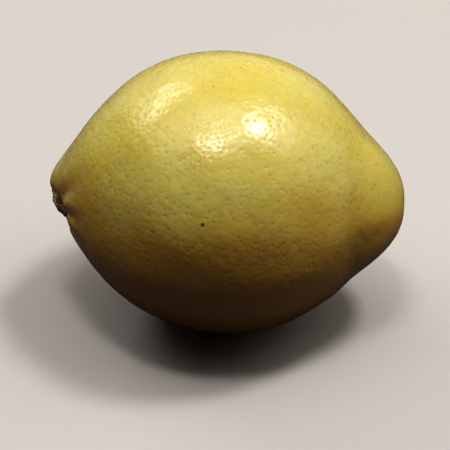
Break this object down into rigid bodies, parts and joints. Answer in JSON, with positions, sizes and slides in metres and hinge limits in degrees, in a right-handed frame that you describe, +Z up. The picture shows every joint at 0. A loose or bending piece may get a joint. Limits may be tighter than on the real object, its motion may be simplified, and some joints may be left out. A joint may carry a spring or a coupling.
{
  "type": "lemon",
  "caption": "Whole lemon lying on its side, with a blunt nipple, pitted rind, a small flat rest spot and a dry woody calyx at the stem end.",
  "frame": {"origin": "on the surface that the lemon rests on, under the middle of its box and on its flat rest spot", "axes": "+Z up, +X along the fruit towards its nipple, with the stem end at -X"},
  "size_m": [0.0766, 0.0612, 0.0606],
  "materials": {
    "rind": "waxy, finely pitted lemon rind, bright yellow, satin to glossy",
    "calyx": "dry, matt, brown and cracked calyx and cut stalk"
  },
  "bodies": {
    "root": {"fruit": "rind", "calyx": "calyx"}
  },
  "joints": []
}
